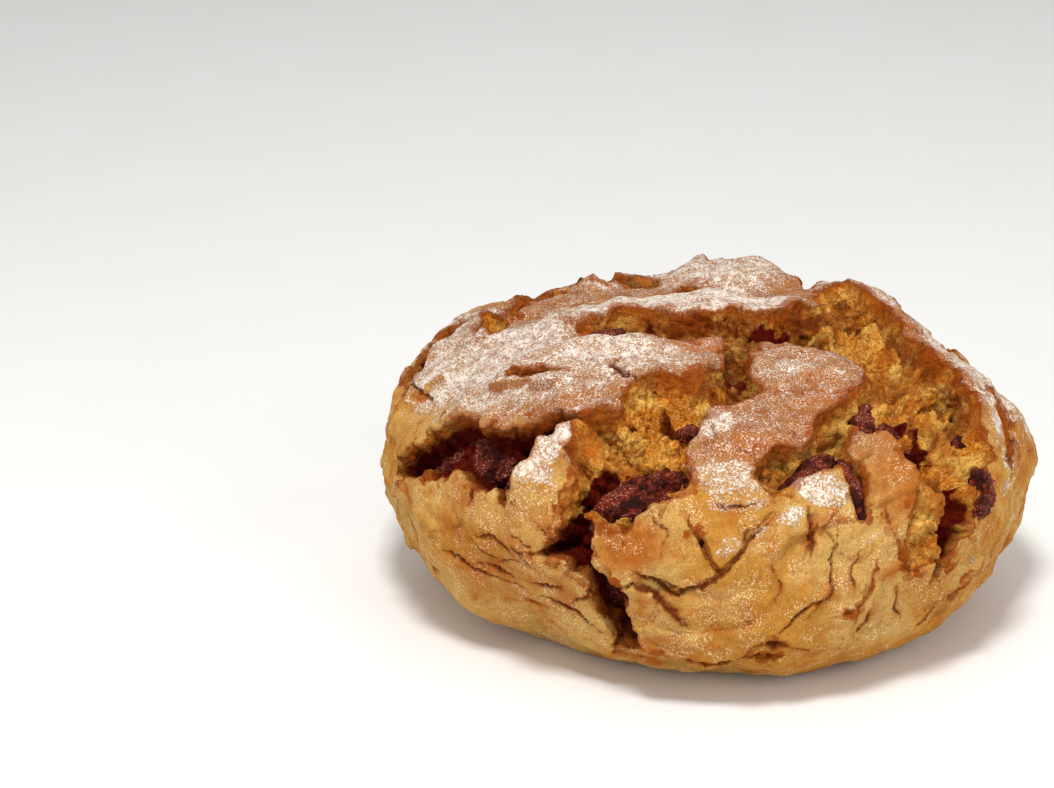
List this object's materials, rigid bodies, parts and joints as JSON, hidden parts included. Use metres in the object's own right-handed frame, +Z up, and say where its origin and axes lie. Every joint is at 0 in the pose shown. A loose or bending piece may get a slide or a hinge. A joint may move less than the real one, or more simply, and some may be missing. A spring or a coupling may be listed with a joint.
{
  "type": "chorizo cornbread",
  "caption": "Whole round chorizo cornbread, its floury crust torn open over rough yellow crumb with dark pieces of chorizo, standing on a flat base.",
  "frame": {"origin": "centre of the flat underside", "axes": "+Z up, the best side of the loaf faces -Y"},
  "size_m": [0.2137, 0.2148, 0.1009],
  "materials": {
    "crust": "baked golden-brown crust, dusted with flour",
    "crumb": "rough, dry, torn crumb",
    "chorizo": "oily, wrinkled, near-black burgundy"
  },
  "bodies": {
    "root": {"chorizo_back_curl": "chorizo", "chorizo_back_left_bit": "chorizo", "chorizo_back_right_strip": "chorizo", "chorizo_back_slice": "chorizo", "chorizo_back_strip": "chorizo", "chorizo_cavity_slice": "chorizo", "chorizo_cavity_strip": "chorizo", "chorizo_crown_bit": "chorizo", "chorizo_curled_strip": "chorizo", "chorizo_drop_slice": "chorizo", "chorizo_front_strip": "chorizo", "chorizo_hole_bit": "chorizo", "chorizo_left_back_bit": "chorizo", "chorizo_left_fork": "chorizo", "chorizo_middle_bit": "chorizo", "chorizo_purple_bit": "chorizo", "chorizo_ridge_bit": "chorizo", "chorizo_right_fork": "chorizo", "chorizo_right_lump": "chorizo", "chorizo_small_knot": "chorizo", "chorizo_step_strip": "chorizo", "chorizo_twisted_strip": "chorizo", "loaf": "crust"}
  },
  "joints": []
}
